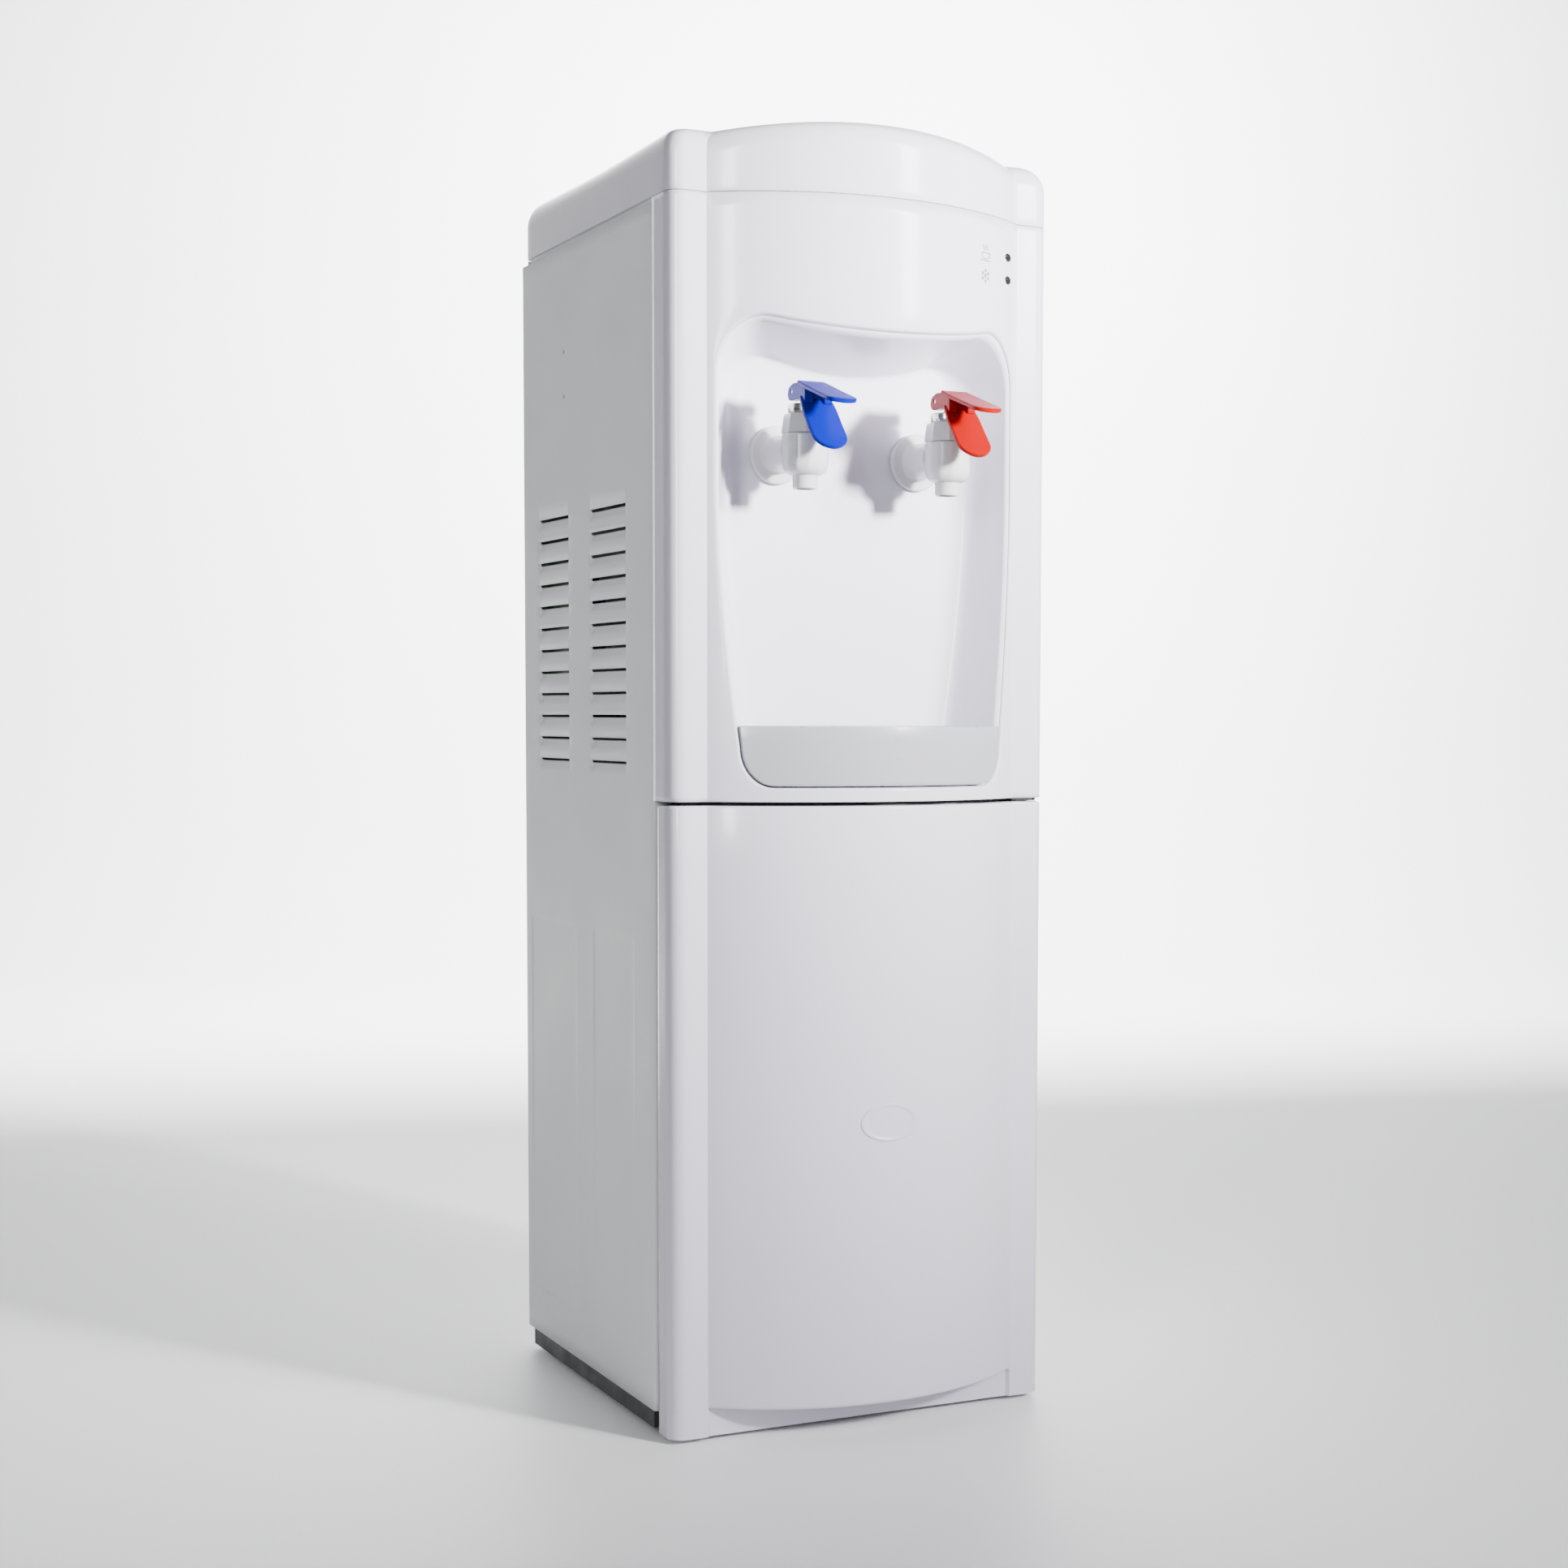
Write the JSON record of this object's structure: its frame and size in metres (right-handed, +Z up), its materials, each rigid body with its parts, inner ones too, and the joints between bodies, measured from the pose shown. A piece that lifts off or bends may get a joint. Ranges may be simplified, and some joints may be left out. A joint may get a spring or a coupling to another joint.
{
  "type": "bottled water dispenser",
  "caption": "Free-standing bottled-water dispenser with hot and cold lever taps over a drip tray, louvred steel sides and a hinged lower cabinet door.",
  "frame": {"origin": "on the floor under the middle of the bounding box", "axes": "+Z up, the front with the taps and the door faces -Y, +X to the right seen from the front"},
  "size_m": [0.31, 0.4172, 0.959],
  "materials": {
    "shell": "glossy moulded, pale lavender white",
    "liner_white": "glossy moulded white",
    "tray_silver": "silver grey satin",
    "dark_plastic": "fine texture",
    "lamp_lens": "clear dark",
    "circuit_board": "solder mask",
    "steel_paint": "satin powder coat, light grey",
    "stainless": "rolled",
    "spring_steel": "drawn wire",
    "foam": "cut foam",
    "ceramic": "ceramic",
    "aluminium": "extruded",
    "silicone": "translucent",
    "rubber": "matte",
    "chrome": "polished",
    "tap_white": "glossy moulded",
    "lever_blue": "glossy moulded",
    "lever_red": "glossy moulded"
  },
  "bodies": {
    "cabinet": {"alcove_liner": "liner_white", "back_panel": "steel_paint", "base_tray": "dark_plastic", "cold_indicator_lens": "lamp_lens", "cold_lock_nut": "tap_white", "cold_spring": "spring_steel", "cold_tank": "stainless", "cold_tank_jacket": "foam", "cold_tap_body": "tap_white", "cold_tap_bonnet": "tap_white", "cold_tap_collar": "chrome", "door_magnet": "dark_plastic", "drain_cap": "dark_plastic", "fan_frame": "dark_plastic", "foot_front_left": "rubber", "foot_front_right": "rubber", "foot_rear_left": "rubber", "foot_rear_right": "rubber", "front_upper_panel": "shell", "heat_sink": "aluminium", "heater_band": "ceramic", "hot_feed_tube": "silicone", "hot_indicator_lens": "lamp_lens", "hot_lock_nut": "tap_white", "hot_spring": "spring_steel", "hot_tank": "stainless", "hot_tap_body": "tap_white", "hot_tap_bonnet": "tap_white", "hot_tap_collar": "chrome", "indicator_board": "circuit_board", "left_side_panel": "steel_paint", "lower_hinge_bracket": "stainless", "mid_shelf": "steel_paint", "power_board": "circuit_board", "power_inlet": "dark_plastic", "right_side_panel": "steel_paint", "tank_baffle": "liner_white", "thermoelectric_module": "ceramic", "top_cover": "shell", "upper_hinge_bracket": "stainless"},
    "door": {"lower_door": "shell", "door_liner": "liner_white", "door_badge": "shell", "door_gasket": "rubber", "door_strike": "stainless"},
    "drip_tray": {"drip_tray": "tray_silver"},
    "drip_grille": {"drip_grille": "tray_silver"},
    "bottle_seat": {"bottle_seat": "liner_white"},
    "fan": {"fan_impeller": "dark_plastic"},
    "cold_switch": {"cold_switch_rocker": "lever_blue"},
    "hot_switch": {"hot_switch_rocker": "lever_red"},
    "cold_valve": {"cold_stem": "chrome", "cold_seal": "silicone", "cold_lever_pin": "chrome"},
    "cold_lever": {"cold_lever": "lever_blue"},
    "hot_valve": {"hot_stem": "chrome", "hot_seal": "silicone", "hot_lever_pin": "chrome"},
    "hot_lever": {"hot_lever": "lever_red"}
  },
  "joints": [
    {"name": "door_hinge", "type": "hinge", "parent": "cabinet", "child": "door", "pos_m": [0.147, -0.10065, 0.004], "axis": [0, 0, 1], "range_deg": [0, 105]},
    {"name": "tray_slide", "type": "slide", "parent": "cabinet", "child": "drip_tray", "axis": [0, -1, 0], "range_m": [0, 0.09]},
    {"name": "grille_lift", "type": "slide", "parent": "drip_tray", "child": "drip_grille", "axis": [0, 0, 1], "range_m": [0, 0.03]},
    {"name": "bottle_seat_lift", "type": "slide", "parent": "cabinet", "child": "bottle_seat", "axis": [0, 0, 1], "range_m": [0, 0.1]},
    {"name": "fan_spin", "type": "hinge", "parent": "cabinet", "child": "fan", "pos_m": [0, 0.18135, 0.786], "axis": [0, 1, 0], "continuous": true},
    {"name": "cold_valve_lift", "type": "slide", "parent": "cabinet", "child": "cold_valve", "axis": [0, 0, 1], "range_m": [0, 0.004], "deforming": ["cold_spring"]},
    {"name": "cold_lever_tilt", "type": "hinge", "parent": "cold_valve", "child": "cold_lever", "pos_m": [-0.058, -0.13905, 0.765], "axis": [1, 0, 0], "range_deg": [0, 18], "stiffness_Nm_per_rad": 0.8, "springref_deg": -8.59},
    {"name": "hot_valve_lift", "type": "slide", "parent": "cabinet", "child": "hot_valve", "axis": [0, 0, 1], "range_m": [0, 0.004], "deforming": ["hot_spring"]},
    {"name": "hot_lever_tilt", "type": "hinge", "parent": "hot_valve", "child": "hot_lever", "pos_m": [0.058, -0.13905, 0.765], "axis": [1, 0, 0], "range_deg": [0, 18], "stiffness_Nm_per_rad": 0.8, "springref_deg": -8.59},
    {"name": "hot_switch_rock", "type": "hinge", "parent": "cabinet", "child": "hot_switch", "pos_m": [-0.098, 0.19135, 0.59], "axis": [1, 0, 0], "range_deg": [0, 14]},
    {"name": "cold_switch_rock", "type": "hinge", "parent": "cabinet", "child": "cold_switch", "pos_m": [-0.098, 0.19135, 0.63], "axis": [1, 0, 0], "range_deg": [0, 14]}
  ],
  "couplings": [
    {"joint": "cold_valve_lift", "follows": "cold_lever_tilt", "m_per_rad": 0.0127},
    {"joint": "hot_valve_lift", "follows": "hot_lever_tilt", "m_per_rad": 0.0127}
  ]
}
